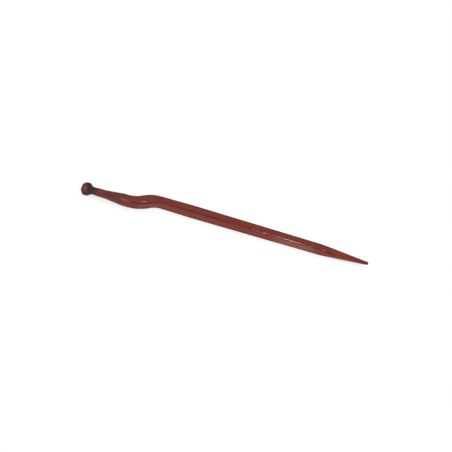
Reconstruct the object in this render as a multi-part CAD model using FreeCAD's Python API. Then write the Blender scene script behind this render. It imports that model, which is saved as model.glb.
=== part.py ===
"""Cranked loader tine: one square forging with a round taper seat and a threaded stud, and its nut.

Millimetres. The origin is the centre of the taper's large end. +X runs along the tine to its point,
the crank lies in the XY plane and +Z is up, with the tine on its side as it lies on a floor.
"""
import FreeCAD, Part
import math
import os

V = FreeCAD.Vector

# Overall length, from the stud's end to the end of the point
total_length = 1400.0

# Threaded stud and plain neck
thread_dia = 28.0
thread_length = 62.0
stud_chamfer = 2.0
neck_dia = 29.6
neck_length = 38.0
neck_chamfer = 0.8

# Round taper that seats in the carrier's sleeve
taper_small_dia = 30.0
taper_big_dia = 42.4
taper_length = 75.0

# Forged shank behind the taper: round, a little proud of the taper's large end
shank_step = 0.1
shank_length = 23.0
shank_corner_share = 0.96

# Crank: two bends with a short straight run between them
crank_offset = 40.0
crank_angle = 19.0
head_bend_radius = 220.0
bar_bend_radius = 190.0
crank_side = 40.4
crank_corner_share = 0.42
squaring_length = 32.0

# Square bar. Sides are across the flats. A corner share of 1 is a round, and 0 is a sharp square.
waist_side = 34.0
waist_length = 10.0
bar_side = 36.0
bar_corner_share = 0.30
swell_length = 150.0
point_start_side = 32.0

# Round, blunt point
point_length = 233.0
point_end_dia = 11.5
point_end_rounding = 4.5

# Hexagon nut
nut_sides = 6
nut_across_flats = 41.0
nut_height = 22.0
nut_face_share = 0.95
nut_chamfer_angle = 30.0
nut_bore_chamfer = 1.6
nut_from_stud_end = 1.5
nut_corner_turn = 38.0
thread_clearance = 0.1
cutter_overhang = 1.0

# Spacing of the sections that shape the forging
crank_section_step = 16.0
swell_section_count = 6

# Places along X that follow from the sizes above
stud_end_x = -(taper_length + neck_length + thread_length)
thread_end_x = stud_end_x + thread_length
taper_start_x = thread_end_x + neck_length
point_end_x = stud_end_x + total_length
point_start_x = point_end_x - point_length
nut_outer_x = stud_end_x + nut_from_stud_end
crank_turn = math.radians(crank_angle)
bend_radii = head_bend_radius + bar_bend_radius
crank_run = (crank_offset - bend_radii * (1.0 - math.cos(crank_turn))) / math.sin(crank_turn)
head_bend_length = head_bend_radius * crank_turn
bar_bend_length = bar_bend_radius * crank_turn
crank_length = head_bend_length + crank_run + bar_bend_length
crank_end_x = shank_length + bend_radii * math.sin(crank_turn) + crank_run * math.cos(crank_turn)


def ease(value):
    """Blend share that starts and ends level."""
    held = min(max(value, 0.0), 1.0)
    return held * held * (3.0 - 2.0 * held)


def blend(start, end, share):
    """Value between start and end."""
    return start + (end - start) * share


def revolve_outline(points):
    """Solid of revolution about X from (x, radius) points that start and end on the axis."""
    corners = [V(x, radius, 0.0) for x, radius in points]
    outline = Part.makePolygon(corners + corners[:1])
    return Part.Face(outline).revolve(V(0.0, 0.0, 0.0), V(1.0, 0.0, 0.0), 360.0)


def centre_line(distance):
    """Point and direction of the forging's centre line, at a distance along it from the taper's large end."""
    into = distance - shank_length
    if into <= 0.0:
        return V(distance, 0.0, 0.0), 0.0
    if into <= head_bend_length:
        turn = into / head_bend_radius
        across = head_bend_radius * (1.0 - math.cos(turn))
        return V(shank_length + head_bend_radius * math.sin(turn), across, 0.0), turn
    if into <= head_bend_length + crank_run:
        along = into - head_bend_length
        x = shank_length + head_bend_radius * math.sin(crank_turn) + along * math.cos(crank_turn)
        across = head_bend_radius * (1.0 - math.cos(crank_turn)) + along * math.sin(crank_turn)
        return V(x, across, 0.0), crank_turn
    turn = (crank_length - into) / bar_bend_radius
    across = crank_offset - bar_bend_radius * (1.0 - math.cos(turn))
    return V(crank_end_x - bar_bend_radius * math.sin(turn), across, 0.0), turn


def crank_section_size(distance):
    """Side across the flats and corner share along the shank and the crank, up to the waist of the bar."""
    shank_side = taper_big_dia + 2.0 * shank_step
    middle = shank_length + crank_length / 2.0
    end = shank_length + crank_length
    if distance <= middle:
        squaring = ease(distance / (shank_length + squaring_length))
        side = blend(shank_side, crank_side, squaring)
        return side, blend(shank_corner_share, crank_corner_share, distance / middle)
    share = (distance - middle) / (end - middle)
    return blend(crank_side, waist_side, ease(share)), blend(crank_corner_share, bar_corner_share, share)


def rounded_square(centre, turn, side, corner_share):
    """Closed outline across the centre line: a square with round corners, two of its faces level."""
    half = side / 2.0
    radius = half * corner_share
    flat = half - radius
    mid_arc = flat + radius * math.sqrt(0.5)
    outward = V(-math.sin(turn), math.cos(turn), 0.0)
    along = V(0.0, 0.0, 1.0)
    edges = []
    for face in range(4):
        face_start = centre + outward * half - along * flat
        corner_start = centre + outward * half + along * flat
        corner_middle = centre + (outward + along) * mid_arc
        corner_end = centre + outward * flat + along * half
        edges.append(Part.LineSegment(face_start, corner_start).toShape())
        edges.append(Part.Arc(corner_start, corner_middle, corner_end).toShape())
        outward, along = along, outward.negative()
    return Part.Wire(edges)


def loft(sections, straight=False):
    """Solid through outlines."""
    return Part.makeLoft(sections, True, straight)


def make_stud_and_taper():
    """Round head of the forging: chamfered stud, plain neck and taper."""
    thread_r = thread_dia / 2.0
    neck_r = neck_dia / 2.0
    return revolve_outline([
        (stud_end_x, 0.0),
        (stud_end_x, thread_r - stud_chamfer),
        (stud_end_x + stud_chamfer, thread_r),
        (thread_end_x, thread_r),
        (thread_end_x + neck_chamfer, neck_r),
        (taper_start_x, taper_small_dia / 2.0),
        (0.0, taper_big_dia / 2.0),
        (0.0, 0.0),
    ])


def make_crank():
    """Shank and S-shaped crank, which turn from a round into a square with round corners."""
    length = shank_length + crank_length
    count = int(math.ceil(length / crank_section_step))
    sections = []
    for index in range(count + 1):
        distance = length * index / count
        centre, turn = centre_line(distance)
        side, corner_share = crank_section_size(distance)
        sections.append(rounded_square(centre, turn, side, corner_share))
    return loft(sections)


def bar_section(x, side):
    """Outline of the straight bar at x."""
    return rounded_square(V(x, crank_offset, 0.0), 0.0, side, bar_corner_share)


def make_swell():
    """Bar behind the crank, which swells from its waist to its full side."""
    sections = []
    for index in range(swell_section_count + 1):
        share = index / swell_section_count
        x = crank_end_x + share * (waist_length + swell_length)
        swelling = ease((share * (waist_length + swell_length) - waist_length) / swell_length)
        sections.append(bar_section(x, blend(waist_side, bar_side, swelling)))
    return loft(sections)


def make_bar():
    """Long straight bar with the forging's slight taper, as far as the end of the point."""
    start_x = crank_end_x + waist_length + swell_length
    slope = (point_start_side - bar_side) / (point_start_x - start_x)
    end_side = point_start_side + slope * point_length
    return loft([bar_section(start_x, bar_side), bar_section(point_end_x, end_side)], straight=True)


def corner_radius_of(side):
    """Distance from the bar's axis to its rounded corner."""
    half = side / 2.0
    return (half - half * bar_corner_share) * math.sqrt(2.0) + half * bar_corner_share


def make_point_envelope():
    """Round space that the bar keeps within: it leaves the bar alone and tapers to the blunt point."""
    clear_of_bar = max(bar_side, waist_side)
    envelope = revolve_outline([
        (crank_end_x, 0.0),
        (crank_end_x, clear_of_bar),
        (point_start_x, clear_of_bar),
        (point_start_x, corner_radius_of(point_start_side)),
        (point_end_x, point_end_dia / 2.0),
        (point_end_x, 0.0),
    ])
    point_middle_x = point_end_x - point_length / 2.0
    envelope = envelope.makeFillet(point_end_rounding, round_edges_past(envelope, point_middle_x))
    envelope.translate(V(0.0, crank_offset, 0.0))
    return envelope


def round_edges_past(shape, x):
    """Closed edges of a shape whose middle lies past x."""
    return [edge for edge in shape.Edges if edge.isClosed() and edge.CenterOfMass.x > x]


def make_tine():
    """The whole forging."""
    straight = make_swell().fuse(make_bar()).common(make_point_envelope())
    forging = make_stud_and_taper().multiFuse([make_crank(), straight])
    return forging.removeSplitter()


def make_nut():
    """Hexagon nut, chamfered on both faces, with a plain bore that clears the stud."""
    corner_r = nut_across_flats / 2.0 / math.cos(math.pi / nut_sides)
    face_r = nut_across_flats / 2.0 * nut_face_share
    chamfer_depth = (corner_r - face_r) * math.tan(math.radians(nut_chamfer_angle))
    bore_r = thread_dia / 2.0 + thread_clearance
    mouth_r = bore_r + nut_bore_chamfer + cutter_overhang
    inner_x = nut_outer_x + nut_height
    corners = []
    for index in range(nut_sides + 1):
        angle = math.radians(nut_corner_turn + index * 360.0 / nut_sides)
        corners.append(V(nut_outer_x, corner_r * math.sin(angle), corner_r * math.cos(angle)))
    prism = Part.Face(Part.makePolygon(corners)).extrude(V(nut_height, 0.0, 0.0))
    envelope = revolve_outline([
        (nut_outer_x, 0.0),
        (nut_outer_x, face_r),
        (nut_outer_x + chamfer_depth, corner_r),
        (inner_x - chamfer_depth, corner_r),
        (inner_x, face_r),
        (inner_x, 0.0),
    ])
    bore = revolve_outline([
        (nut_outer_x - cutter_overhang, 0.0),
        (nut_outer_x - cutter_overhang, mouth_r),
        (nut_outer_x + nut_bore_chamfer, bore_r),
        (inner_x - nut_bore_chamfer, bore_r),
        (inner_x + cutter_overhang, mouth_r),
        (inner_x + cutter_overhang, 0.0),
    ])
    return prism.common(envelope).cut(bore)


def write_piece(name, shape):
    """Write one piece to its own file and say what it is."""
    shape.exportStep("parts/" + name + ".step")
    print(name, "solids", len(shape.Solids), "valid", shape.isValid(), "volume", round(shape.Volume))


os.makedirs("parts", exist_ok=True)
write_piece("tine", make_tine())
write_piece("nut", make_nut())
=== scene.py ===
"""Cranked loader tine with its hexagon nut, dressed for a plain studio picture.

Metres, in the same frame as the solid model: the origin is the centre of the taper's large end, +X runs
to the point, the crank lies level and +Z is up. The forging and the nut are built again from the same
sizes as the solids, with their screw thread, rounded edges and rolled skin, and stand in their place.
"""
import logging
import math
from dataclasses import dataclass, field
from enum import Enum
from typing import Any, Optional, Sequence

import bpy
import numpy as np
from mathutils import Matrix, Vector


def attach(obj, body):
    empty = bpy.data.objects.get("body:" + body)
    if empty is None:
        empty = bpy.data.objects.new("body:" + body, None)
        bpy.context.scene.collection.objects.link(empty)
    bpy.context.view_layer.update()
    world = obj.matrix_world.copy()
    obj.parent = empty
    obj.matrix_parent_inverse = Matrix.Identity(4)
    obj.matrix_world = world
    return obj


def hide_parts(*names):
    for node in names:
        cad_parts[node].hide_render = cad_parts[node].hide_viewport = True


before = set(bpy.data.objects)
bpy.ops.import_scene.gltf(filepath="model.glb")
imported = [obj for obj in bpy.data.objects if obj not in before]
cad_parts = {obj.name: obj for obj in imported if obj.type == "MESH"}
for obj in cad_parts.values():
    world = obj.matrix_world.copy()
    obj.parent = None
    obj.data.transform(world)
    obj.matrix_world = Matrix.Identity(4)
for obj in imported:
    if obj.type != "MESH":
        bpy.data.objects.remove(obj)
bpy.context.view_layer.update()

LOG = logging.getLogger("loader_tine")
QUARTER_TURN = math.pi / 2.0
HEXAGON_TURN = math.pi / 3.0
HALF_HEXAGON_TURN = math.pi / 6.0
ANGLE_SLACK = 1e-9
NOISE_RANGE = (0.3, 0.7)
WHITE = (1.0, 1.0, 1.0, 1.0)
Socket = bpy.types.NodeSocket
Colour = tuple[float, float, float, float]
Triple = tuple[float, float, float]


class Slot(Enum):
    """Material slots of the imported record."""

    FORGING = "red_paint"
    NUT = "nut_finish"


class Reach(Enum):
    """Which rays a lamp is made for."""

    ALL = "all"
    GLOSS_ONLY = "gloss_only"


def ease(value: np.ndarray) -> np.ndarray:
    """Blend share that starts and ends level, held between 0 and 1."""
    held = np.clip(value, 0.0, 1.0)
    return held * held * (3.0 - 2.0 * held)


def blend(start: Any, end: Any, share: Any) -> Any:
    """Value between start and end."""
    return start + (end - start) * share


def soft_minimum(first: np.ndarray, second: np.ndarray, reach: float) -> np.ndarray:
    """Lower of two values, never above either, blended where they differ by less than the reach."""
    overlap = np.maximum(reach - np.abs(first - second), 0.0)
    return np.minimum(first, second) - overlap * overlap / (4.0 * reach)


class Grid:
    """Quad mesh over rings of points, closed round each ring."""

    def __init__(self, rings: np.ndarray, loops_back: bool = False) -> None:
        """Take rings that all turn the same way about +X, and either loop back or have capped ends."""
        self.rings = rings
        self.loops_back = loops_back

    def faces(self) -> list[tuple[int, ...]]:
        """Faces by vertex number, all with their outer side out.

        Returns:
            Quads between neighbouring rings, and fans of triangles over open ends.
        """
        ring_count, point_count, _ = self.rings.shape
        following = np.roll(np.arange(point_count), -1)
        made: list[tuple[int, ...]] = []
        last = ring_count if self.loops_back else ring_count - 1
        for index in range(last):
            here = index * point_count
            there = ((index + 1) % ring_count) * point_count
            for point in range(point_count):
                near = int(following[point])
                made.append((here + point, here + near, there + near, there + point))
        if not self.loops_back:
            first_centre = ring_count * point_count
            last_start = (ring_count - 1) * point_count
            for point in range(point_count):
                near = int(following[point])
                made.append((first_centre, near, point))
                made.append((first_centre + 1, last_start + point, last_start + near))
        return made

    def mesh(self, name: str, sharp_angle: float) -> bpy.types.Mesh:
        """Smooth mesh of the grid.

        Args:
            name: Name of the mesh.
            sharp_angle: Turn between two faces, in degrees, above which their edge stays crisp.

        Returns:
            The new mesh.
        """
        points = self.rings.reshape(-1, 3)
        if not self.loops_back:
            points = np.vstack([points, self.rings[0].mean(axis=0), self.rings[-1].mean(axis=0)])
        made = bpy.data.meshes.new(name)
        made.from_pydata(points.tolist(), [], self.faces())
        made.shade_smooth()
        made.set_sharp_from_angle(angle=math.radians(sharp_angle))
        made.update()
        return made


def store_mask(mesh: bpy.types.Mesh, name: str, values: np.ndarray) -> None:
    """Keep one number per point on a mesh, for its material to read.

    Args:
        mesh: Mesh that carries the numbers.
        name: Name of the attribute.
        values: Numbers in the order of the grid's points. Cap centres past them get 0.
    """
    held = np.zeros(len(mesh.vertices), np.float32)
    held[: values.size] = values.ravel()
    attribute = mesh.attributes.new(name, "FLOAT", "POINT")
    attribute.data.foreach_set("value", held)


def add_object(name: str, data: Any) -> bpy.types.Object:
    """Put a mesh, a light or a camera into the scene.

    Args:
        name: Name of the object.
        data: What it holds.

    Returns:
        The new object.
    """
    made = bpy.data.objects.new(name, data)
    bpy.context.scene.collection.objects.link(made)
    return made


def place_piece(
    mesh: bpy.types.Mesh, material: bpy.types.Material, node: str
) -> bpy.types.Object:
    """Put a mesh into the scene in the place of a node of the solid model.

    Args:
        mesh: Finished mesh, in the frame's own coordinates.
        material: Its finish.
        node: Node of the solid model that the piece stands for.

    Returns:
        The new object.
    """
    piece = add_object(mesh.name, mesh)
    piece.data.materials.append(material)
    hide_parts(node)
    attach(piece, "root")
    return piece


@dataclass
class ScrewThread:
    """Fine screw thread that runs along X, the same for the stud and for the nut that fits it."""

    pitch: float = 0.0015
    major_radius: float = 0.014
    depth: float = 0.00092
    crest_share: float = 0.125
    root_share: float = 0.25
    steps_per_turn: int = 8

    @property
    def step(self) -> float:
        """Distance between the rings that carry the thread."""
        return self.pitch / self.steps_per_turn

    def cut(self, x: np.ndarray, angle: np.ndarray) -> np.ndarray:
        """Depth of the groove at a place on the thread.

        Args:
            x: Place along the axis.
            angle: Angle about the axis, in radians.

        Returns:
            Depth below the crest, from 0 to the full depth.
        """
        phase = np.mod(x / self.pitch + angle / (2.0 * math.pi), 1.0)
        from_crest = np.abs(2.0 * phase - 1.0)
        flank = 1.0 - self.crest_share - self.root_share
        return self.depth * np.clip((from_crest - self.crest_share) / flank, 0.0, 1.0)


@dataclass
class Forging:
    """The tine itself: threaded stud, plain neck, taper seat, crank, square bar and round point."""

    total_length: float = 1.400
    thread_length: float = 0.062
    stud_chamfer: float = 0.002
    run_out_turns: float = 2.5
    neck_dia: float = 0.0296
    neck_length: float = 0.038
    neck_chamfer: float = 0.0008
    taper_small_dia: float = 0.030
    taper_big_dia: float = 0.0424
    taper_length: float = 0.075
    turned_edge_rounding: float = 0.0004
    turned_edge_samples: int = 7
    shank_step: float = 0.0001
    shank_length: float = 0.023
    shank_corner_share: float = 0.96
    crank_offset: float = 0.040
    crank_angle: float = 19.0
    head_bend_radius: float = 0.220
    bar_bend_radius: float = 0.190
    crank_side: float = 0.0404
    crank_corner_share: float = 0.42
    squaring_length: float = 0.032
    waist_side: float = 0.034
    waist_length: float = 0.010
    bar_side: float = 0.036
    bar_corner_share: float = 0.30
    swell_length: float = 0.150
    point_start_side: float = 0.032
    point_length: float = 0.233
    point_end_dia: float = 0.0115
    point_end_rounding: float = 0.0045
    point_blend: float = 0.0014
    relief_depth: float = 0.00022
    skin_waves: tuple[tuple[float, float, float, float], ...] = (
        (61.0, 2.0, 0.4, 0.34),
        (97.0, -3.0, 2.1, 0.26),
        (173.0, 4.0, 4.0, 0.18),
        (238.0, -6.0, 1.2, 0.13),
        (391.0, 7.0, 5.3, 0.09),
    )
    edge_reach: float = 0.20
    # How strongly each edge, and each edge of the point's cone, carries its dark lines of painted shade and
    # its rubbed wear.
    corner_strengths: tuple[float, ...] = (1.0, 0.42, 1.0, 0.8)
    cone_edge_strengths: tuple[float, ...] = (1.0, 0.0, 0.8, 0.3)
    squaring_share: float = 0.6
    point_rounds_past: float = 0.060
    point_rounds_over: float = 0.120
    skin_starts_over: float = 0.030
    skin_thins_over: float = 0.200
    skin_thinning: float = 0.6
    cone_edges_over: float = 0.070
    edges_end_before: float = 0.040
    edges_end_over: float = 0.035
    turned_edge_step: float = 0.0002
    head_ring_step: float = 0.0024
    crank_ring_step: float = 0.0018
    bar_ring_step: float = 0.0036
    point_ring_step: float = 0.0020
    fine_before_point: float = 0.020
    flat_steps: int = 6
    corner_steps: int = 12
    nose_steps: int = 12
    end_disc_shares: tuple[float, ...] = (0.15, 0.5, 0.8, 0.97)
    nose_disc_share: float = 0.4
    crisp_angle: float = 38.0
    thread: ScrewThread = field(default_factory=ScrewThread)

    def __post_init__(self) -> None:
        """Work out the places that follow from the sizes."""
        self.stud_end = -(self.taper_length + self.neck_length + self.thread_length)
        self.thread_end = self.stud_end + self.thread_length
        self.taper_start = -self.taper_length
        self.point_end = self.stud_end + self.total_length
        self.point_start = self.point_end - self.point_length
        self.turn = math.radians(self.crank_angle)
        radii = self.head_bend_radius + self.bar_bend_radius
        self.run = (self.crank_offset - radii * (1.0 - math.cos(self.turn))) / math.sin(self.turn)
        self.head_bend = self.head_bend_radius * self.turn
        self.crank_length = radii * self.turn + self.run
        self.crank_end = self.shank_length + radii * math.sin(self.turn) + self.run * math.cos(self.turn)
        self.path_end = self.shank_length + self.crank_length
        self.swell_end = self.crank_end + self.waist_length + self.swell_length
        half = self.point_start_side / 2.0
        flat = half * (1.0 - self.bar_corner_share)
        self.cone_start_radius = flat * math.sqrt(2.0) + half * self.bar_corner_share

    def centre_line(self, distance: float) -> tuple[float, float, float]:
        """Centre line of the forging, by distance along it from the taper's large end.

        Args:
            distance: Distance along the line, negative towards the stud.

        Returns:
            x, y and direction in radians.
        """
        into = distance - self.shank_length
        if into <= 0.0:
            return distance, 0.0, 0.0
        if into <= self.head_bend:
            turn = into / self.head_bend_radius
            x = self.shank_length + self.head_bend_radius * math.sin(turn)
            return x, self.head_bend_radius * (1.0 - math.cos(turn)), turn
        if into <= self.head_bend + self.run:
            along = into - self.head_bend
            x = self.shank_length + self.head_bend_radius * math.sin(self.turn) + along * math.cos(self.turn)
            across = self.head_bend_radius * (1.0 - math.cos(self.turn)) + along * math.sin(self.turn)
            return x, across, self.turn
        if into <= self.crank_length:
            turn = (self.crank_length - into) / self.bar_bend_radius
            across = self.crank_offset - self.bar_bend_radius * (1.0 - math.cos(turn))
            return self.crank_end - self.bar_bend_radius * math.sin(turn), across, turn
        return self.crank_end + into - self.crank_length, self.crank_offset, 0.0

    def head_radius(self, x: float) -> float:
        """Radius of the turned head before its thread is cut.

        Args:
            x: Place along the head.

        Returns:
            Radius of the stud, neck or taper there.
        """
        radius = self.thread.major_radius
        neck = self.neck_dia / 2.0
        small = self.taper_small_dia / 2.0
        places = [
            self.stud_end,
            self.stud_end + self.stud_chamfer,
            self.thread_end,
            self.thread_end + self.neck_chamfer,
            self.taper_start,
            0.0,
        ]
        radii = [radius - self.stud_chamfer, radius, radius, neck, small, self.taper_big_dia / 2.0]
        spread = np.linspace(-1.0, 1.0, self.turned_edge_samples) * self.turned_edge_rounding
        return float(np.interp(x + spread, places, radii).mean())

    def section(self, distance: float) -> tuple[float, float]:
        """Half side and corner share of the forging's section past the taper.

        Args:
            distance: Distance along the centre line from the taper's large end.

        Returns:
            Half of the side across the flats, and the share of it that the corner's radius takes.
        """
        if distance >= self.path_end:
            x = self.crank_end + distance - self.path_end
            if x <= self.swell_end:
                swelling = ease((x - self.crank_end - self.waist_length) / self.swell_length)
                return blend(self.waist_side, self.bar_side, swelling) / 2.0, self.bar_corner_share
            slope = (self.point_start_side - self.bar_side) / (self.point_start - self.swell_end)
            return (self.bar_side + slope * (x - self.swell_end)) / 2.0, self.bar_corner_share
        middle = self.shank_length + self.crank_length / 2.0
        if distance <= middle:
            squaring = ease(distance / (self.shank_length + self.squaring_length))
            side = blend(self.taper_big_dia + 2.0 * self.shank_step, self.crank_side, squaring)
            return side / 2.0, blend(self.shank_corner_share, self.crank_corner_share, distance / middle)
        share = (distance - middle) / (self.path_end - middle)
        side = blend(self.crank_side, self.waist_side, ease(share))
        return side / 2.0, blend(self.crank_corner_share, self.bar_corner_share, share)

    def distances(self) -> list[float]:
        """Where the rings stand along the centre line.

        Returns:
            Rising distances from the stud's end to where the point's rounding begins.
        """
        to_bar = self.path_end - self.crank_end
        stops = [
            (self.stud_end, self.thread.step),
            (self.thread_end - self.turned_edge_rounding, self.turned_edge_step),
            (self.thread_end + self.neck_chamfer + self.turned_edge_rounding, self.head_ring_step),
            (self.taper_start - self.turned_edge_rounding, self.turned_edge_step),
            (self.taper_start + self.turned_edge_rounding, self.head_ring_step),
            (0.0, self.crank_ring_step),
            (self.path_end, self.bar_ring_step),
            (self.point_start - self.fine_before_point + to_bar, self.point_ring_step),
            (self.nose_tangent()[0] + to_bar, 0.0),
        ]
        made: list[float] = []
        for (start, step), (end, _) in zip(stops, stops[1:]):
            count = max(1, round((end - start) / step))
            made.extend(start + (end - start) * index / count for index in range(count))
        return made

    def nose_tangent(self) -> tuple[float, float]:
        """Where the point's long cone runs into the rounding of its end.

        Returns:
            Place along X, and the cone's half angle in radians.
        """
        fall = (self.cone_start_radius - self.point_end_dia / 2.0) / self.point_length
        slope = math.atan(fall)
        return self.point_end - self.point_end_rounding * (1.0 - math.sin(slope)), slope

    def ray_angles(self, squareness: float) -> np.ndarray:
        """Angles of one ring's points, closer together at the corners of a square section.

        Args:
            squareness: 0 spreads the points evenly, and 1 as a square bar wants them.

        Returns:
            Rising angles in radians, measured from the crank's outer side towards +Z.
        """
        rounded = self.bar_corner_share
        flat = 1.0 - rounded
        flat_rays = np.arctan(np.linspace(0.0, flat, self.flat_steps + 1))[:-1]
        arc = np.linspace(0.0, QUARTER_TURN, self.corner_steps + 1)
        arc_rays = np.arctan2(flat + rounded * np.sin(arc), flat + rounded * np.cos(arc))
        closing = QUARTER_TURN - flat_rays[::-1]
        quarter = np.concatenate([flat_rays, arc_rays, closing])[:-1]
        rays = np.concatenate([quarter + QUARTER_TURN * face for face in range(4)])
        even = np.arange(rays.size) * 2.0 * math.pi / rays.size
        return blend(even, rays, squareness)

    def square_radius(self, rays: np.ndarray, half: float, share: float) -> np.ndarray:
        """Distance from the centre to a square with round corners.

        Args:
            rays: Angles of the points.
            half: Half of the side across the flats.
            share: Share of it that the corner's radius takes.

        Returns:
            Radius at each angle.
        """
        flat = half * (1.0 - share)
        turned = np.mod(rays, QUARTER_TURN)
        folded = np.minimum(turned, QUARTER_TURN - turned)
        on_flat = half / np.cos(folded)
        under_root = (half * share) ** 2 - flat * flat * (1.0 - np.sin(2.0 * folded))
        on_arc = flat * (np.cos(folded) + np.sin(folded)) + np.sqrt(np.maximum(under_root, 0.0))
        return np.where(np.tan(folded) * half <= flat, on_flat, on_arc)

    def rolled_relief(self, distance: float, rays: np.ndarray) -> np.ndarray:
        """Shallow waves that rolling and hammering leave in the skin, all of them inwards.

        Each wave has its pace along the line, its turns round the bar, its start and its share.

        Args:
            distance: Distance along the centre line.
            rays: Angles of the points.

        Returns:
            Depth of the relief at each angle.
        """
        total = 0.0
        for pace, turns, start, size in self.skin_waves:
            total = total + size * np.sin(pace * distance + turns * rays + start)
        return self.relief_depth * 0.5 * (1.0 + total)

    def edge_closeness(self, rays: np.ndarray, x: float, share: float) -> np.ndarray:
        """How close points lie to the bar's four edges, which carry dark lines of painted shade and rubbed
        wear.

        Args:
            rays: Angles of the points.
            x: Place along X.
            share: Share of the half side that the corner's radius takes there.

        Returns:
            1 or less on an edge, by how strongly it shows, and 0 on the flats.
        """
        off_edge = np.abs(np.mod(rays, QUARTER_TURN) - QUARTER_TURN / 2.0)
        squaring = (self.shank_corner_share - share) / (self.shank_corner_share - self.crank_corner_share)
        sharpness = float(np.clip(squaring, 0.0, 1.0))
        on_cone = float(ease((x - self.point_start) / self.cone_edges_over))
        fading = 1.0 - float(ease((x - self.point_end + self.edges_end_before) / self.edges_end_over))
        cone_strengths = np.array(self.cone_edge_strengths) * fading
        strengths = blend(np.array(self.corner_strengths), cone_strengths, on_cone)
        edge = np.mod(rays, 2.0 * math.pi) // QUARTER_TURN
        return np.exp(-((off_edge / self.edge_reach) ** 2)) * sharpness * strengths[edge.astype(int) % 4]

    def ring(self, distance: float) -> tuple[np.ndarray, np.ndarray]:
        """One ring of points round the forging.

        Args:
            distance: Distance along the centre line.

        Returns:
            The points, and how close each lies to a corner of the square section.
        """
        x, y, turn = self.centre_line(distance)
        past_start = x - self.point_start
        squareness = float(ease(distance / (self.path_end * self.squaring_share)))
        squareness *= 1.0 - float(ease((past_start - self.point_rounds_past) / self.point_rounds_over))
        rays = self.ray_angles(squareness)
        if distance < 0.0:
            radius = np.full(rays.size, self.head_radius(distance))
            fading = ease((self.thread_end - distance) / (self.run_out_turns * self.thread.pitch))
            groove = self.thread.major_radius - self.thread.cut(distance, rays) * fading
            if distance < self.thread_end:
                radius = np.minimum(radius, groove)
            corner = np.zeros(rays.size)
        else:
            half, share = self.section(distance)
            radius = self.square_radius(rays, half, share)
            cone = self.cone_start_radius - past_start * math.tan(self.nose_tangent()[1])
            if past_start > -self.point_rounds_past:
                radius = soft_minimum(radius, np.full(rays.size, cone), self.point_blend)
            thinned = 1.0 - ease(past_start / self.skin_thins_over) * self.skin_thinning
            skin = float(ease(distance / self.skin_starts_over) * thinned)
            radius = radius - self.rolled_relief(distance, rays) * skin
            corner = self.edge_closeness(rays, x, share)
        outward = np.array([-math.sin(turn), math.cos(turn), 0.0])
        points = np.array([x, y, 0.0]) + np.outer(radius * np.cos(rays), outward)
        points[:, 2] += radius * np.sin(rays)
        return points, corner

    def disc_ring(self, x: float, y: float, radius: float) -> np.ndarray:
        """Even round ring of points, square to X, with its centre at x and y."""
        rays = self.ray_angles(0.0)
        return np.column_stack([np.full(rays.size, x), y + radius * np.cos(rays), radius * np.sin(rays)])

    def mesh(self) -> bpy.types.Mesh:
        """Watertight mesh of the whole forging.

        Returns:
            The mesh, with the closeness to its corners kept on its points.
        """
        outer = self.head_radius(self.stud_end)
        rings = [self.disc_ring(self.stud_end, 0.0, outer * share) for share in self.end_disc_shares]
        plain = np.zeros(rings[0].shape[0])
        corners = [plain for _ in rings]
        for distance in self.distances():
            points, corner = self.ring(distance)
            rings.append(points)
            corners.append(corner)
        slope = self.nose_tangent()[1]
        rounding = self.point_end_rounding
        arc_radius = self.point_end_dia / 2.0 + rounding * (math.tan(slope) - 1.0 / math.cos(slope))
        for step in range(self.nose_steps + 1):
            angle = (QUARTER_TURN - slope) * (1.0 - step / self.nose_steps)
            x = self.point_end - rounding * (1.0 - math.cos(angle))
            rings.append(self.disc_ring(x, self.crank_offset, arc_radius + rounding * math.sin(angle)))
            corners.append(plain)
        rings.append(self.disc_ring(self.point_end, self.crank_offset, arc_radius * self.nose_disc_share))
        corners.append(plain)
        made = Grid(np.array(rings)).mesh("tine_forging", self.crisp_angle)
        store_mask(made, "corner", np.array(corners))
        return made

    def dress(self, finish: "ForgingPaint") -> bpy.types.Object:
        """Build the forging in its paint, in the place of its solid."""
        return place_piece(self.mesh(), finish.material(), "tine")


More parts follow.
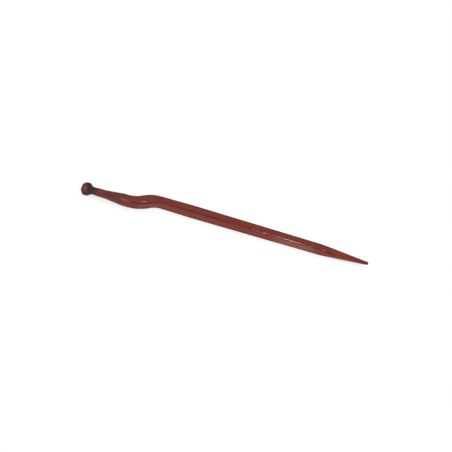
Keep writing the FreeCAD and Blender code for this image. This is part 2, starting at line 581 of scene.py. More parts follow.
@dataclass
class HexNut:
    """Hexagon nut, chamfered on both faces, with rounded edges and a thread that fits the stud."""

    across_flats: float = 0.041
    height: float = 0.022
    outer_face: float = -0.1735
    face_share: float = 0.95
    chamfer_angle: float = 30.0
    bore_radius: float = 0.0141
    bore_chamfer: float = 0.0016
    first_corner: float = 52.0
    corner_rounding: float = 0.0009
    edge_rounding: float = 0.00034
    thread_gap: float = 0.00012
    rounding_limit: float = 0.45
    mouth_depth_share: float = 0.9
    corner_mask_gain: float = 1.6
    corner_mask_start: float = 0.9
    rim_from: float = 0.80
    rim_over: float = 0.14
    rim_depth: float = 0.0040
    rim_hold: float = 1.2
    flat_steps: int = 14
    corner_steps: int = 4
    rounding_steps: int = 4
    crisp_angle: float = 38.0
    thread: ScrewThread = field(default_factory=ScrewThread)

    def rays(self) -> np.ndarray:
        """Angles of the points round the nut, closer together at its corners.

        Returns:
            Rising angles in radians, measured from +Y towards +Z.
        """
        inset = (self.across_flats / 2.0 - self.corner_rounding) / math.cos(HALF_HEXAGON_TURN)
        arc = np.linspace(-HALF_HEXAGON_TURN, HALF_HEXAGON_TURN, self.corner_steps + 1)
        arc_rays = np.arctan2(self.corner_rounding * np.sin(arc), inset + self.corner_rounding * np.cos(arc))
        edge = HALF_HEXAGON_TURN - arc_rays[-1]
        spread = np.arctan(np.linspace(-math.tan(edge), math.tan(edge), self.flat_steps + 1))
        sector = np.concatenate([arc_rays, HALF_HEXAGON_TURN + spread[1:-1]])
        first = math.radians(self.first_corner)
        return np.concatenate([first + sector + HEXAGON_TURN * side for side in range(6)])

    def hexagon_radius(self, rays: np.ndarray) -> np.ndarray:
        """Distance from the axis to the hexagon with its corners rounded.

        Args:
            rays: Angles of the points.

        Returns:
            Radius at each angle.
        """
        flat = self.across_flats / 2.0
        rounding = self.corner_rounding
        cosine = math.cos(HALF_HEXAGON_TURN)
        inset = (flat - rounding) / cosine
        turned = np.mod(rays - math.radians(self.first_corner), HEXAGON_TURN)
        from_corner = np.minimum(turned, HEXAGON_TURN - turned)
        limit = math.atan2(rounding * 0.5, inset + rounding * cosine)
        root = rounding**2 - (inset * np.sin(from_corner)) ** 2
        on_arc = inset * np.cos(from_corner) + np.sqrt(np.maximum(root, 0.0))
        on_flat = flat / np.cos(HALF_HEXAGON_TURN - from_corner)
        return np.where(from_corner <= limit + ANGLE_SLACK, on_arc, on_flat)

    def rounding_step(self, side: np.ndarray) -> np.ndarray:
        """Step from a corner along one of its sides, to where the corner's rounding begins."""
        length = np.linalg.norm(side)
        return side / length * min(self.edge_rounding, length * self.rounding_limit)

    def rounded(self, corners: np.ndarray) -> np.ndarray:
        """Round the inner corners of an open outline.

        Args:
            corners: Outline points as rows of x and radius.

        Returns:
            The outline with a short curve in place of each inner corner.
        """
        made = [corners[0]]
        for before, here, after in zip(corners, corners[1:], corners[2:]):
            start = here + self.rounding_step(before - here)
            end = here + self.rounding_step(after - here)
            for step in range(self.rounding_steps + 1):
                share = step / self.rounding_steps
                made.append(blend(blend(start, here, share), blend(here, end, share), share))
        made.append(corners[-1])
        return np.array(made)

    def outline(self, ray: float, radius: float) -> np.ndarray:
        """Closed outline of the nut's wall in the half plane at one angle.

        Args:
            ray: Angle about the axis.
            radius: Radius of the hexagon there.

        Returns:
            Rows of x and radius: the outer face, the flat, the inner face, and back through the bore.
        """
        inner = self.outer_face + self.height
        face = self.across_flats / 2.0 * self.face_share
        fall = (radius - face) * math.tan(math.radians(self.chamfer_angle))
        mouth = self.bore_radius + self.bore_chamfer
        deep = self.bore_chamfer * self.mouth_depth_share
        corners = np.array([
            (self.outer_face + deep, mouth - deep),
            (self.outer_face, mouth),
            (self.outer_face, face),
            (self.outer_face + fall, radius),
            (inner - fall, radius),
            (inner, face),
            (inner, mouth),
            (inner - deep, mouth - deep),
        ])
        outside = self.rounded(corners)
        count = round((self.height - 2.0 * deep) / self.thread.step)
        places = np.linspace(inner - deep, self.outer_face + deep, count + 1)[1:-1]
        depth = self.thread.cut(places, np.full(places.size, ray))
        groove = self.thread.major_radius - depth + self.thread_gap
        to_face = np.minimum(places - self.outer_face, inner - places)
        bore = np.maximum(groove, mouth - to_face)
        return np.vstack([outside, np.column_stack([places, bore])])

    def mesh(self) -> bpy.types.Mesh:
        """Watertight mesh of the nut.

        Returns:
            The mesh, with the closeness to its corners and to the rims of its faces kept on its points.
        """
        rays = self.rays()
        radii = self.hexagon_radius(rays)
        outlines = np.array([self.outline(ray, radius) for ray, radius in zip(rays, radii)])
        x = outlines[:, :, 0].T
        radius = outlines[:, :, 1].T
        rings = np.stack([x, radius * np.cos(rays), radius * np.sin(rays)], axis=2)
        made = Grid(rings, loops_back=True).mesh("hexagon_nut", self.crisp_angle)
        flat = self.across_flats / 2.0
        widest = flat / math.cos(HALF_HEXAGON_TURN)
        near_corner = (radius - flat) / (widest - flat) * self.corner_mask_gain - self.corner_mask_start
        store_mask(made, "corner", ease(near_corner))
        to_face = np.minimum(x - self.outer_face, self.outer_face + self.height - x)
        outward = ease((radius - flat * self.rim_from) / (flat * self.rim_over))
        store_mask(made, "rim", outward * ease(self.rim_hold - to_face / self.rim_depth))
        return made

    def dress(self, finish: "NutFinish") -> bpy.types.Object:
        """Build the nut in its finish, in the place of its solid."""
        return place_piece(self.mesh(), finish.material(), "nut")


class NodeSheet:
    """Node tree under construction, with short calls to place nodes and join them."""

    def __init__(self, tree: bpy.types.NodeTree) -> None:
        """Work on an existing tree."""
        self.tree = tree

    def join(self, source: Any, socket: Socket) -> None:
        """Feed a socket from another socket, or set its value.

        Args:
            source: An output socket, or a plain value.
            socket: The input socket.
        """
        if isinstance(source, Socket):
            self.tree.links.new(source, socket)
        else:
            socket.default_value = source

    def add(self, kind: str, inputs: Optional[dict[Any, Any]] = None, **settings: Any) -> bpy.types.Node:
        """Place a node.

        Args:
            kind: Type of the node.
            inputs: What its sockets get, by name or number.
            settings: Its own options.

        Returns:
            The node.
        """
        node = self.tree.nodes.new(kind)
        for name, value in settings.items():
            setattr(node, name, value)
        for key, source in (inputs or {}).items():
            self.join(source, node.inputs[key])
        return node

    def math(self, operation: str, first: Any, second: Any = 0.0, held: bool = False) -> Socket:
        """Output of a Math node, held between 0 and 1 if told."""
        inputs = {0: first, 1: second}
        return self.add("ShaderNodeMath", inputs, operation=operation, use_clamp=held).outputs[0]

    def span(self, value: Any, start: Any, end: Any, low: Any = 0.0, high: Any = 1.0) -> Socket:
        """Value carried smoothly from its own span to one from low to high, and held at the ends."""
        inputs = {0: value, 1: start, 2: end, 3: low, 4: high}
        return self.add("ShaderNodeMapRange", inputs, interpolation_type="SMOOTHSTEP").outputs[0]

    def mix(self, share: Any, first: Any, second: Any) -> Socket:
        """First colour with a share of the second in it."""
        inputs = {0: share, 6: first, 7: second}
        return self.add("ShaderNodeMix", inputs, data_type="RGBA", blend_type="MIX").outputs[2]

    def tint(self, colour: Any, mask: Any, strength: float, tone: Colour) -> Socket:
        """Colour with a tone laid over it where a mask says, as strongly as told."""
        return self.mix(self.math("MULTIPLY", mask, strength), colour, tone)

    def noise(self, position: Any, cells: Any, detail: float = 2.0, roughness: float = 0.5) -> Socket:
        """Soft random values in the noise range, by cells to the metre, finer layers and their share."""
        inputs = {"Vector": position, "Scale": cells, "Detail": detail, "Roughness": roughness}
        return self.add("ShaderNodeTexNoise", inputs).outputs[0]

    def vector(self, operation: str, first: Any, second: Any = (0.0, 0.0, 0.0)) -> bpy.types.Node:
        """Vector Math node."""
        return self.add("ShaderNodeVectorMath", {0: first, 1: second}, operation=operation)

    def bump(self, height: Any, strength: float, distance: float) -> Socket:
        """Normal of a surface that carries a fine height, shown as strongly as told."""
        inputs = {"Strength": strength, "Distance": distance, "Height": height}
        return self.add("ShaderNodeBump", inputs).outputs[0]

    def along(self, position: Any) -> Socket:
        """Place along X."""
        return self.add("ShaderNodeSeparateXYZ", {0: position}).outputs[0]

    def attribute(self, name: str) -> Socket:
        """Mask that the mesh carries on its points."""
        return self.add("ShaderNodeAttribute", attribute_name=name).outputs["Fac"]

    def use(self, group: bpy.types.NodeTree, **given: Any) -> Any:
        """Place a node group.

        Args:
            group: The group.
            given: What its sockets get, each named in small letters, with an underscore for a space.

        Returns:
            The group's outputs, by name.
        """
        node = self.tree.nodes.new("ShaderNodeGroup")
        node.node_tree = group
        for name, source in given.items():
            self.join(source, node.inputs[name.replace("_", " ").title()])
        return node.outputs


class EffectGroup:
    """Shader node group under construction, with its own inputs and outputs."""

    def __init__(
        self, name: str, vectors: Sequence[str], values: Sequence[str], outputs: Sequence[str]
    ) -> None:
        """Make the group and its sockets.

        Args:
            name: Name of the group.
            vectors: Names of the inputs that take a vector.
            values: Names of the inputs that take a number.
            outputs: Names of the outputs, all of them numbers.
        """
        self.tree = bpy.data.node_groups.new(name, "ShaderNodeTree")
        for title in vectors:
            self.tree.interface.new_socket(title, in_out="INPUT", socket_type="NodeSocketVector")
        for title in values:
            self.tree.interface.new_socket(title, in_out="INPUT", socket_type="NodeSocketFloat")
        for title in outputs:
            self.tree.interface.new_socket(title, in_out="OUTPUT", socket_type="NodeSocketFloat")
        self.sheet = NodeSheet(self.tree)
        self.given = self.tree.nodes.new("NodeGroupInput").outputs
        self.result = self.tree.nodes.new("NodeGroupOutput").inputs

    def close(self, results: dict[str, Socket]) -> bpy.types.NodeTree:
        """Join the outputs.

        Args:
            results: Socket that feeds each output, by name.

        Returns:
            The finished group.
        """
        for name, source in results.items():
            self.sheet.join(source, self.result[name])
        return self.tree


@dataclass
class SharedEffects:
    """Effects that both finishes use, each a node group built once. Noise is sized in cells to the metre."""

    broad_edge: float = 85.0
    fine_edge: float = 640.0
    broad_wear: float = 120.0
    fine_wear: float = 900.0
    fine_wear_share: float = 0.3
    corner_help: float = 0.22
    wear_limits: tuple[float, float] = (0.62, 0.76)
    pit_limits: tuple[float, float] = (0.10, 0.34)
    pitted_cells_share: float = 0.31
    pitted_limits: tuple[float, float] = (0.48, 0.62)
    patch_core: float = 0.15
    drawn_out: Triple = (0.28, 1.0, 1.0)

    def __post_init__(self) -> None:
        """Build the groups."""
        self.skin = self.forged_skin()
        self.cover = self.spray_cover()
        self.wear = self.rubbed_edges()
        self.patch = self.soft_patch()
        self.drift = self.tone_drift()

    def forged_skin(self) -> bpy.types.NodeTree:
        """Fine height of a painted, scaled surface.

        Returns:
            A group with a height for the bump and a mask of the pits.
        """
        values = ["Grain", "Pit Size", "Pit Depth"]
        group = EffectGroup("forged_skin", ["Position"], values, ["Height", "Pits"])
        sheet, given = group.sheet, group.given
        grain = sheet.noise(given["Position"], given["Grain"], detail=3.0, roughness=0.55)
        cells = {"Vector": given["Position"], "Scale": given["Pit Size"], "Randomness": 1.0}
        distance = sheet.add("ShaderNodeTexVoronoi", cells, feature="SMOOTH_F1").outputs["Distance"]
        pits = sheet.span(distance, *self.pit_limits, 1.0, 0.0)
        pitted_cells = sheet.math("MULTIPLY", given["Pit Size"], self.pitted_cells_share)
        pitted = sheet.noise(given["Position"], pitted_cells, detail=1.0)
        pits = sheet.math("MULTIPLY", pits, sheet.span(pitted, *self.pitted_limits))
        height = sheet.math("SUBTRACT", grain, sheet.math("MULTIPLY", pits, given["Pit Depth"]))
        return group.close({"Height": height, "Pits": pits})

    def spray_cover(self) -> bpy.types.NodeTree:
        """How well sprayed paint covers along a piece, with a ragged, speckled edge.

        Returns:
            A group with one mask, 0 where bare and 1 where covered.
        """
        values = ["Along", "Bare Until", "Covered From", "Raggedness", "Speckle"]
        group = EffectGroup("spray_cover", ["Position"], values, ["Cover"])
        sheet, given = group.sheet, group.given
        broad = sheet.noise(given["Position"], self.broad_edge, detail=3.0, roughness=0.6)
        either_way = sheet.math("SUBTRACT", broad, 0.5)
        shifted = sheet.math("ADD", given["Along"], sheet.math("MULTIPLY", either_way, given["Raggedness"]))
        cover = sheet.span(shifted, given["Bare Until"], given["Covered From"])
        fine = sheet.noise(given["Position"], self.fine_edge, detail=2.0, roughness=0.6)
        either_way = sheet.math("SUBTRACT", fine, 0.5)
        speckled = sheet.math("ADD", cover, sheet.math("MULTIPLY", either_way, given["Speckle"]), held=True)
        return group.close({"Cover": speckled})

    def rubbed_edges(self) -> bpy.types.NodeTree:
        """Where edges are rubbed, broken up along their length.

        Returns:
            A group with one mask.
        """
        group = EffectGroup("rubbed_edges", ["Position"], ["Closeness", "Amount"], ["Wear"])
        sheet, given = group.sheet, group.given
        broken = sheet.noise(given["Position"], self.broad_wear, detail=4.0, roughness=0.65)
        broken = sheet.math("MULTIPLY", broken, 1.0 - self.fine_wear_share)
        fine = sheet.noise(given["Position"], self.fine_wear, detail=2.0, roughness=0.6)
        both = sheet.math("ADD", broken, sheet.math("MULTIPLY", fine, self.fine_wear_share))
        lifted = sheet.math("ADD", both, sheet.math("MULTIPLY", given["Closeness"], self.corner_help))
        closeness = sheet.math("MULTIPLY", given["Closeness"], given["Amount"])
        return group.close({"Wear": sheet.math("MULTIPLY", sheet.span(lifted, *self.wear_limits), closeness)})

    def soft_patch(self) -> bpy.types.NodeTree:
        """Soft-edged patch round a place.

        Returns:
            A group with one mask, 1 at the centre and 0 outside its reach.
        """
        group = EffectGroup("soft_patch", ["Position", "Centre", "Reach"], [], ["Patch"])
        sheet, given = group.sheet, group.given
        offset = sheet.vector("SUBTRACT", given["Position"], given["Centre"]).outputs[0]
        shares = sheet.vector("DIVIDE", offset, given["Reach"]).outputs[0]
        length = sheet.vector("LENGTH", shares).outputs["Value"]
        return group.close({"Patch": sheet.span(length, self.patch_core, 1.0, 1.0, 0.0)})

    def tone_drift(self) -> bpy.types.NodeTree:
        """Slow change of tone over a surface, drawn out along X.

        Returns:
            A group with one mask.
        """
        group = EffectGroup("tone_drift", ["Position"], ["Scale", "Spread"], ["Tone"])
        sheet, given = group.sheet, group.given
        drawn = sheet.vector("MULTIPLY", given["Position"], self.drawn_out).outputs[0]
        value = sheet.noise(drawn, given["Scale"], detail=3.0, roughness=0.55)
        low = sheet.math("SUBTRACT", 0.5, given["Spread"])
        high = sheet.math("ADD", 0.5, given["Spread"])
        return group.close({"Tone": sheet.span(value, low, high)})


def blank_material(name: str) -> tuple[bpy.types.Material, NodeSheet, Any, Socket]:
    """Material with an untouched shader.

    Args:
        name: Name of the material.

    Returns:
        The material, its sheet, its main shader's inputs and the position on the piece.
    """
    material = bpy.data.materials.new(name)
    material.use_nodes = True
    material.node_tree.nodes.clear()
    sheet = NodeSheet(material.node_tree)
    shader = sheet.add("ShaderNodeBsdfPrincipled")
    sheet.add("ShaderNodeOutputMaterial", {"Surface": shader.outputs[0]})
    position = sheet.add("ShaderNodeTexCoord").outputs["Object"]
    return material, sheet, shader.inputs, position


@dataclass(frozen=True)
class Patch:
    """Soft patch on a piece with a tone laid over it; some patches are the paint's own tones, others painted
    highlights and painted shade.
    """

    centre: Triple
    reach: Triple
    colour: Colour = (0.0, 0.0, 0.0, 1.0)
    strength: float = 1.0

    def mask(self, effects: SharedEffects, sheet: NodeSheet, position: Any) -> Socket:
        """Mask of the patch, 1 at its centre and 0 outside its reach."""
        return sheet.use(effects.patch, position=position, centre=self.centre, reach=self.reach)["Patch"]

    def lay(self, effects: SharedEffects, sheet: NodeSheet, position: Any, colour: Any) -> Socket:
        """Colour with the patch laid over it."""
        return sheet.tint(colour, self.mask(effects, sheet, position), self.strength, self.colour)


@dataclass(frozen=True)
class ForgingPaint:
    """Thin red-brown paint sprayed over a forging, running out over a dark thread."""

    effects: SharedEffects
    brown: Colour = (0.212, 0.0510, 0.0230, 1.0)
    crimson: Colour = (0.258, 0.0280, 0.0290, 1.0)
    streak: Colour = (0.150, 0.0320, 0.0220, 1.0)
    streak_strength: float = 0.45
    deep: Colour = (0.122, 0.0380, 0.0320, 1.0)
    deep_strength: float = 0.78
    deep_until: float = -0.020
    deep_fades_by: float = 0.045
    # Painted light: the paint over the thread is lightened to offset the shade that falls in its grooves.
    thread_painted_light: Colour = (0.240, 0.0660, 0.0580, 1.0)
    thread_painted_light_strength: float = 0.9
    thread_end: float = -0.113
    thread_end_fade: float = 0.002
    # Painted shade: dark lines along the bar's edges, standing in for the dark rims at its outline and the
    # dark reflection under the ridge's highlight.
    edge: Colour = (0.042, 0.0130, 0.0110, 1.0)
    edge_shade_strength: float = 0.90
    worn: Colour = (0.070, 0.0300, 0.0250, 1.0)
    wear_amount: float = 0.8
    grime_strength: float = 0.45
    grain: float = 420.0
    pit_size: float = 330.0
    pit_depth: float = 0.55
    tone_scale: float = 70.0
    tone_spread: float = 0.09
    streak_scale: float = 170.0
    streak_spread: float = 0.12
    bare: Colour = (0.080, 0.0700, 0.0640, 1.0)
    bare_until: float = -0.148
    covered_from: float = -0.112
    raggedness: float = 0.026
    speckle: float = 0.50
    end_covered_until: float = -0.1744
    end_bare_from: float = -0.1722
    mottling: float = 60.0
    roughness_limits: tuple[float, float] = (0.22, 0.35)
    smooth_roughness: float = 0.23
    worn_roughness: float = 0.12
    bare_roughness: float = 0.10
    specular: float = 0.16
    relief: float = 0.00022
    relief_strength: float = 0.55
    smooth_relief: float = 0.10
    smooth_from: float = 0.6
    patches: tuple[Patch, ...] = (
        # Painted highlight: broad orange glint on the taper's large end and the shank.
        Patch((-0.0050, -0.0150, 0.0150), (0.036, 0.0065, 0.0065), (0.360, 0.0820, 0.0500, 1.0), 0.90),
        # Painted highlight: orange glint on the top of the taper near the thread.
        Patch((-0.1100, -0.0060, 0.0136), (0.015, 0.009, 0.007), (0.250, 0.0520, 0.0280, 1.0), 0.80),
        Patch((0.0500, -0.0152, 0.0147), (0.011, 0.005, 0.005), (0.090, 0.0300, 0.0240, 1.0), 0.75),
        # Painted highlight: pale pink end of the ridge's highlight.
        Patch((0.9850, 0.0266, 0.0155), (0.018, 0.005, 0.006), (0.330, 0.1400, 0.1300, 1.0), 0.60),
        Patch((1.0260, 0.0237, 0.0090), (0.038, 0.0060, 0.0055), (0.045, 0.0210, 0.0130, 1.0), 0.82),
        Patch((0.9514, 0.0240, 0.0110), (0.011, 0.0040, 0.0035), (0.070, 0.0300, 0.0220, 1.0), 0.70),
        Patch((0.9780, 0.0240, 0.0070), (0.012, 0.0040, 0.0035), (0.070, 0.0300, 0.0220, 1.0), 0.60),
        # Painted shade: darker lower side of the crank near the head, which faces away from the light.
        Patch((0.0500, -0.0160, -0.0020), (0.045, 0.012, 0.017), (0.122, 0.0220, 0.0180, 1.0), 0.85),
        # Painted shade: darker lower side of the crank, which faces away from the light.
        Patch((0.1180, 0.0010, -0.0040), (0.065, 0.020, 0.018), (0.125, 0.0160, 0.0130, 1.0), 0.90),
        # Painted highlight: lighter orange on the top of the point where it begins to turn round.
        Patch((1.0700, 0.0315, 0.0145), (0.075, 0.011, 0.007), (0.320, 0.0470, 0.0240, 1.0), 0.75),
        Patch((-0.0690, -0.0090, 0.0105), (0.026, 0.006, 0.006), (0.070, 0.0400, 0.0280, 1.0), 0.60),
        Patch((-0.0380, 0.0030, 0.0170), (0.030, 0.005, 0.006), (0.230, 0.0260, 0.0260, 1.0), 0.70),
        Patch((0.0780, 0.0040, 0.0210), (0.080, 0.022, 0.014), (0.198, 0.0320, 0.0270, 1.0), 0.75),
        # Painted highlight: pale streak across the stud's end face.
        Patch((-0.1750, -0.0020, 0.0055), (0.004, 0.0024, 0.0090), (0.400, 0.1700, 0.1600, 1.0), 0.90),
        Patch((1.2200, 0.0400, 0.0000), (0.090, 0.030, 0.030), (0.150, 0.0270, 0.0230, 1.0), 0.75),
    )
    smooth_spot: Patch = Patch((0.0930, 0.0010, 0.0200), (0.055, 0.032, 0.014))

    def material(self) -> bpy.types.Material:
        """Build the paint.

        Returns:
            The material.
        """
        material, sheet, shader, position = blank_material("red_brown_paint")
        effects = self.effects
        skin = sheet.use(
            effects.skin, position=position,
            grain=self.grain, pit_size=self.pit_size, pit_depth=self.pit_depth,
        )
        along = sheet.along(position)
        colour = self.sprayed(sheet, position, along)
        closeness = sheet.attribute("corner")
        # Painted shade: darken the edges by how close points lie to them.
        colour = sheet.tint(colour, closeness, self.edge_shade_strength, self.edge)
        wear = sheet.use(
            effects.wear, position=position, closeness=closeness, amount=self.wear_amount
        )["Wear"]
        colour = sheet.mix(wear, colour, self.worn)
        colour = sheet.tint(colour, skin["Pits"], self.grime_strength, self.worn)
        cover = self.covered(sheet, position, along)
        sheet.join(sheet.mix(cover, self.bare, colour), shader["Base Color"])
        smooth = self.smooth_spot.mask(effects, sheet, position)
        sheet.join(self.roughness(sheet, position, smooth, wear, cover), shader["Roughness"])
        sheet.join(self.specular, shader["Specular IOR Level"])
        smoothing = sheet.span(smooth, 0.0, self.smooth_from, 1.0, self.smooth_relief)
        height = sheet.math("MULTIPLY", skin["Height"], smoothing)
        sheet.join(sheet.bump(height, self.relief_strength, self.relief), shader["Normal"])
        return material

    def sprayed(self, sheet: NodeSheet, position: Any, along: Any) -> Socket:
        """Colour of the whole paint, before its edges wear.

        Args:
            sheet: Sheet of the material.
            position: Position on the piece.
            along: Place along X.

        Returns:
            The colour.
        """
        drift = self.effects.drift
        tone = sheet.use(drift, position=position, scale=self.tone_scale, spread=self.tone_spread)
        colour = sheet.mix(tone["Tone"], self.brown, self.crimson)
        streak = sheet.use(drift, position=position, scale=self.streak_scale, spread=self.streak_spread)
        colour = sheet.tint(colour, streak["Tone"], self.streak_strength, self.streak)
        head = sheet.span(along, self.deep_until, self.deep_fades_by, self.deep_strength, 0.0)
        colour = sheet.mix(head, colour, self.deep)
        # Painted light over the thread, offsetting the shade in its grooves.
        fade_from = self.thread_end - self.thread_end_fade
        strength = self.thread_painted_light_strength
        before_end = sheet.span(along, fade_from, self.thread_end, strength, 0.0)
        behind_face = sheet.span(along, self.end_covered_until, self.end_bare_from, 0.0, strength)
        colour = sheet.mix(sheet.math("MINIMUM", before_end, behind_face), colour, self.thread_painted_light)
        # Lay the patches: the paint's own tones, and the painted highlights and painted shade marked in the
        # list.
        for patch in self.patches:
            colour = patch.lay(self.effects, sheet, position, colour)
        return colour

    def covered(self, sheet: NodeSheet, position: Any, along: Any) -> Socket:
        """Where the paint covers: the stud's end face, and all that lies past the thread.

        Args:
            sheet: Sheet of the material.
            position: Position on the piece.
            along: Place along X.

        Returns:
            The mask, 1 where covered.
        """
        cover = sheet.use(
            self.effects.cover, position=position, along=along,
            bare_until=self.bare_until, covered_from=self.covered_from,
            raggedness=self.raggedness, speckle=self.speckle,
        )["Cover"]
        on_end = sheet.span(along, self.end_covered_until, self.end_bare_from, 1.0, 0.0)
        return sheet.math("MAXIMUM", cover, on_end)

    def roughness(self, sheet: NodeSheet, position: Any, smooth: Any, wear: Any, cover: Any) -> Socket:
        """Mottled roughness, lower on the smooth spot and higher where worn or bare.

        Args:
            sheet: Sheet of the material.
            position: Position on the piece.
            smooth: Mask of the smooth spot.
            wear: Mask of the rubbed edges.
            cover: Mask of the paint.

        Returns:
            The roughness.
        """
        mottled = sheet.noise(position, self.mottling, detail=4.0, roughness=0.6)
        rough = sheet.span(mottled, *NOISE_RANGE, *self.roughness_limits)
        above_smooth = sheet.math("SUBTRACT", rough, self.smooth_roughness)
        rough = sheet.math("SUBTRACT", rough, sheet.math("MULTIPLY", smooth, above_smooth))
        rough = sheet.math("ADD", rough, sheet.math("MULTIPLY", wear, self.worn_roughness))
        return sheet.math("ADD", rough, sheet.span(cover, 0.0, 1.0, self.bare_roughness, 0.0))


@dataclass(frozen=True)
class NutFinish:
    """Dark phosphated steel with red overspray on the outer face."""

    effects: SharedEffects
    steel: Colour = (0.052, 0.0430, 0.0390, 1.0)
    spray: Colour = (0.150, 0.0210, 0.0190, 1.0)
    thin_spray: Colour = (0.080, 0.0200, 0.0180, 1.0)
    rim: Colour = (0.042, 0.0190, 0.0170, 1.0)
    rim_strength: float = 0.95
    bright: Colour = (0.250, 0.1250, 0.1180, 1.0)
    pit_strength: float = 0.8
    grain: float = 900.0
    pit_size: float = 400.0
    pit_depth: float = 0.5
    wear_amount: float = 0.7
    covered_until: float = -0.1718
    bare_from: float = -0.1655
    raggedness: float = 0.010
    speckle: float = 0.7
    tone_scale: float = 120.0
    tone_spread: float = 0.14
    roughness_limits: tuple[float, float] = (0.36, 0.50)
    specular: float = 0.30
    relief: float = 0.00016
    relief_strength: float = 0.6
    # Painted highlight: pale streak on the nut's outer face above the stud.
    streak: Patch = Patch((-0.1735, 0.0005, 0.0155), (0.004, 0.0035, 0.007), (0.21, 0.06, 0.056, 1.0), 0.75)

    def material(self) -> bpy.types.Material:
        """Build the finish.

        Returns:
            The material.
        """
        material, sheet, shader, position = blank_material("nut_oversprayed_steel")
        effects = self.effects
        skin = sheet.use(
            effects.skin, position=position,
            grain=self.grain, pit_size=self.pit_size, pit_depth=self.pit_depth,
        )
        inward = sheet.math("MULTIPLY", sheet.along(position), -1.0)
        cover = sheet.use(
            effects.cover, position=position, along=inward,
            bare_until=-self.bare_from, covered_from=-self.covered_until,
            raggedness=self.raggedness, speckle=self.speckle,
        )["Cover"]
        tone = sheet.use(
            effects.drift, position=position, scale=self.tone_scale, spread=self.tone_spread
        )["Tone"]
        colour = sheet.mix(cover, self.steel, sheet.mix(tone, self.spray, self.thin_spray))
        # Lay the painted highlight streak.
        colour = self.streak.lay(effects, sheet, position, colour)
        colour = sheet.tint(colour, sheet.attribute("rim"), self.rim_strength, self.rim)
        colour = sheet.tint(colour, skin["Pits"], self.pit_strength, self.bright)
        closeness = sheet.attribute("corner")
        wear = sheet.use(
            effects.wear, position=position, closeness=closeness, amount=self.wear_amount
        )["Wear"]
        sheet.join(sheet.mix(wear, colour, self.bright), shader["Base Color"])
        sheet.join(sheet.span(tone, 0.0, 1.0, *self.roughness_limits), shader["Roughness"])
        sheet.join(self.specular, shader["Specular IOR Level"])
        sheet.join(sheet.bump(skin["Height"], self.relief_strength, self.relief), shader["Normal"])
        return material


@dataclass(frozen=True)
class FloorFinish:
    """Plain pale studio floor, lit evenly from below so that shadows on it stay faint, with a painted pool of
    light that only reflections see.
    """

    effects: SharedEffects
    light: Colour = (0.30, 0.30, 0.30, 1.0)
    shade: Colour = (0.28, 0.28, 0.28, 1.0)
    cloudiness: float = 14.0
    roughness: float = 0.9
    specular: float = 0.05
    glow_seen: float = 0.76
    glow_on_part: float = 1.30
    glow_in_gloss: float = 0.11
    # Painted reflection: a brighter pool of floor glow that only glossy rays see, laying a pale sheen on the
    # bar's lower face.
    pool_in_gloss: float = 1.20
    painted_light_pool: Patch = Patch((0.870, 0.0, 0.0), (0.150, 0.120, 0.200))

    def material(self) -> bpy.types.Material:
        """Build the floor's finish.

        Returns:
            The material.
        """
        material, sheet, shader, position = blank_material("pale_floor")
        clouds = sheet.noise(position, self.cloudiness, detail=3.0)
        sheet.join(sheet.mix(clouds, self.light, self.shade), shader["Base Color"])
        sheet.join(self.roughness, shader["Roughness"])
        sheet.join(self.specular, shader["Specular IOR Level"])
        path = sheet.add("ShaderNodeLightPath").outputs
        glow = sheet.span(path["Is Camera Ray"], 0.0, 1.0, self.glow_on_part, self.glow_seen)
        # Painted reflection: brighter floor glow in the pool, for glossy rays only.
        painted_light_pool = self.painted_light_pool.mask(self.effects, sheet, position)
        mirrored = sheet.span(painted_light_pool, 0.0, 1.0, self.glow_in_gloss, self.pool_in_gloss)
        glow = sheet.span(path["Is Glossy Ray"], 0.0, 1.0, glow, mirrored)
        sheet.join(WHITE, shader["Emission Color"])
        sheet.join(glow, shader["Emission Strength"])
        return material


@dataclass(frozen=True)
class Lamp:
    """Rectangular studio lamp, aimed at a place."""

    name: str
    place: Triple
    aim: Triple
    width: float
    height: float
    power: float
    beam: float = 180.0
    reach: Reach = Reach.ALL

    def hang(self) -> None:
        """Put the lamp into the scene."""
        light = bpy.data.lights.new(self.name, "AREA")
        light.shape = "RECTANGLE"
        light.size = self.width
        light.size_y = self.height
        light.energy = self.power
        light.spread = math.radians(self.beam)
        lamp = add_object(self.name, light)
        lamp.location = self.place
        away = Vector(self.place) - Vector(self.aim)
        lamp.rotation_euler = away.to_track_quat("Z", "Y").to_euler()
        lamp.visible_camera = False
        lamp.visible_diffuse = self.reach is Reach.ALL


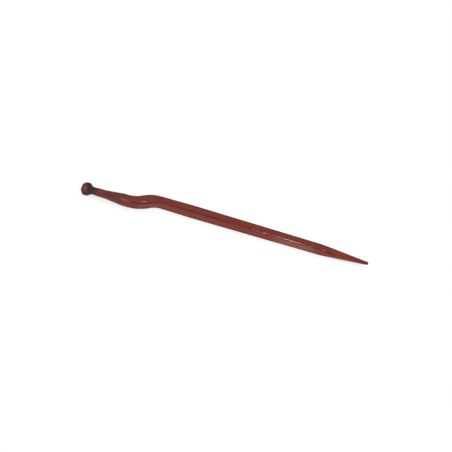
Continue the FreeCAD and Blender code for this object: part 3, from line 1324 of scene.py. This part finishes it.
@dataclass
class Studio:
    """Floor, lamps, surrounding light and camera."""

    picture_size: int = 452
    focal_pixels: float = 5664.3
    sensor_width: float = 36.0
    distance: float = 20.0
    nearest_seen: float = 0.1
    farthest_seen: float = 200.0
    slant: float = 38.27
    roll: float = 16.42
    reference: Triple = (-0.1735, 0.0, 0.0)
    aim_right: float = 0.4988
    aim_down: float = 0.1333
    floor_size: float = 80.0
    bar_from_nut: float = 0.3
    surround_overhead: float = 1.10
    surround_level: float = 0.20
    surround_heights: tuple[float, float] = (0.1, 0.9)
    surround_share_in_gloss: float = 0.12
    lamps: tuple[Lamp, ...] = (
        Lamp("top_softbox", (0.4, 0.1, 2.4), (0.5, 0.0, 0.0), width=2.4, height=1.0, power=10.0),
        Lamp(
            "ridge_strip", (1.226, -0.178, 0.468), (0.79, 0.024, 0.014),
            width=0.16, height=0.03, power=0.20, beam=30.0, reach=Reach.GLOSS_ONLY,
        ),
        Lamp(
            "crank_spot", (0.1535, 0.0375, 0.085), (0.088, 0.0000, 0.020),
            width=0.008, height=0.022, power=0.0033, beam=90.0, reach=Reach.GLOSS_ONLY,
        ),
    )

    def lay_floor(self, nut: bpy.types.Object, forging: bpy.types.Object, finish: FloorFinish) -> None:
        """Lay the floor under the part, touching its nut and the underside of its bar.

        Args:
            nut: The nut.
            forging: The forging.
            finish: The floor's finish.
        """
        nut_points = np.array([vertex.co for vertex in nut.data.vertices])
        bar_points = np.array([vertex.co for vertex in forging.data.vertices])
        low = nut_points[nut_points[:, 2].argmin()]
        far = bar_points[bar_points[:, 0] > low[0] + self.bar_from_nut]
        slope = float(((far[:, 2] - low[2]) / (far[:, 0] - low[0])).min())
        half = self.floor_size / 2.0
        corners = []
        for x, y in ((-half, -half), (half, -half), (half, half), (-half, half)):
            corners.append((x, y, float(low[2] + slope * (x - low[0]))))
        mesh = bpy.data.meshes.new("studio_floor")
        mesh.from_pydata(corners, [], [(0, 1, 2, 3)])
        mesh.materials.append(finish.material())
        floor = add_object("studio_floor", mesh)

    def light_up(self) -> None:
        """Hang the lamps and light the surroundings."""
        for lamp in self.lamps:
            lamp.hang()
        world = bpy.data.worlds.new("studio_surround")
        world.use_nodes = True
        world.node_tree.nodes.clear()
        sheet = NodeSheet(world.node_tree)
        glossy = sheet.add("ShaderNodeLightPath").outputs["Is Glossy Ray"]
        direction = sheet.add("ShaderNodeTexCoord").outputs["Generated"]
        height = sheet.add("ShaderNodeSeparateXYZ", {0: direction}).outputs[2]
        strength = sheet.span(height, *self.surround_heights, self.surround_level, self.surround_overhead)
        dimming = sheet.span(glossy, 0.0, 1.0, 1.0, self.surround_share_in_gloss)
        strength = sheet.math("MULTIPLY", strength, dimming)
        background = sheet.add("ShaderNodeBackground", {"Color": WHITE, "Strength": strength})
        sheet.add("ShaderNodeOutputWorld", {"Surface": background.outputs[0]})
        bpy.context.scene.world = world
        bpy.context.scene.view_settings.view_transform = "Standard"

    def set_camera(self) -> bpy.types.Object:
        """Put the camera at the photograph's viewing angle.

        Returns:
            The camera.
        """
        slant = math.radians(self.slant)
        roll = math.radians(self.roll)
        side = math.sqrt(0.5)
        level_right = Vector((math.cos(slant), -math.sin(slant) * side, math.sin(slant) * side))
        level_down = Vector((0.0, -side, -side))
        right = level_right * math.cos(roll) - level_down * math.sin(roll)
        down = level_right * math.sin(roll) + level_down * math.cos(roll)
        toward = right.cross(-down)
        place = Vector(self.reference) + toward * self.distance
        aim = Vector(self.reference) + right * self.aim_right + down * self.aim_down
        back = (place - aim).normalized()
        across = (-down).cross(back).normalized()
        upward = back.cross(across)
        data = bpy.data.cameras.new("studio_camera")
        data.sensor_fit = "HORIZONTAL"
        data.sensor_width = self.sensor_width
        data.lens = self.focal_pixels * self.sensor_width / self.picture_size
        data.clip_start = self.nearest_seen
        data.clip_end = self.farthest_seen
        camera = add_object("studio_camera", data)
        turned = Matrix((across, upward, back)).transposed().to_4x4()
        camera.matrix_world = Matrix.Translation(place) @ turned
        bpy.context.scene.camera = camera
        return camera


def main() -> None:
    """Build the part, lay it on its floor, light it and set the camera."""
    logging.basicConfig(level=logging.INFO, format="%(name)s: %(message)s")
    effects = SharedEffects()
    forging = Forging().dress(ForgingPaint(effects))
    LOG.info("%s has %d faces", forging.name, len(forging.data.polygons))
    nut = HexNut().dress(NutFinish(effects))
    LOG.info("%s has %d faces", nut.name, len(nut.data.polygons))
    studio = Studio()
    studio.lay_floor(nut, forging, FloorFinish(effects))
    studio.light_up()
    camera = studio.set_camera()
    LOG.info("%s stands at %s", camera.name, [round(value, 2) for value in camera.location])


if __name__ == "__main__":
    main()
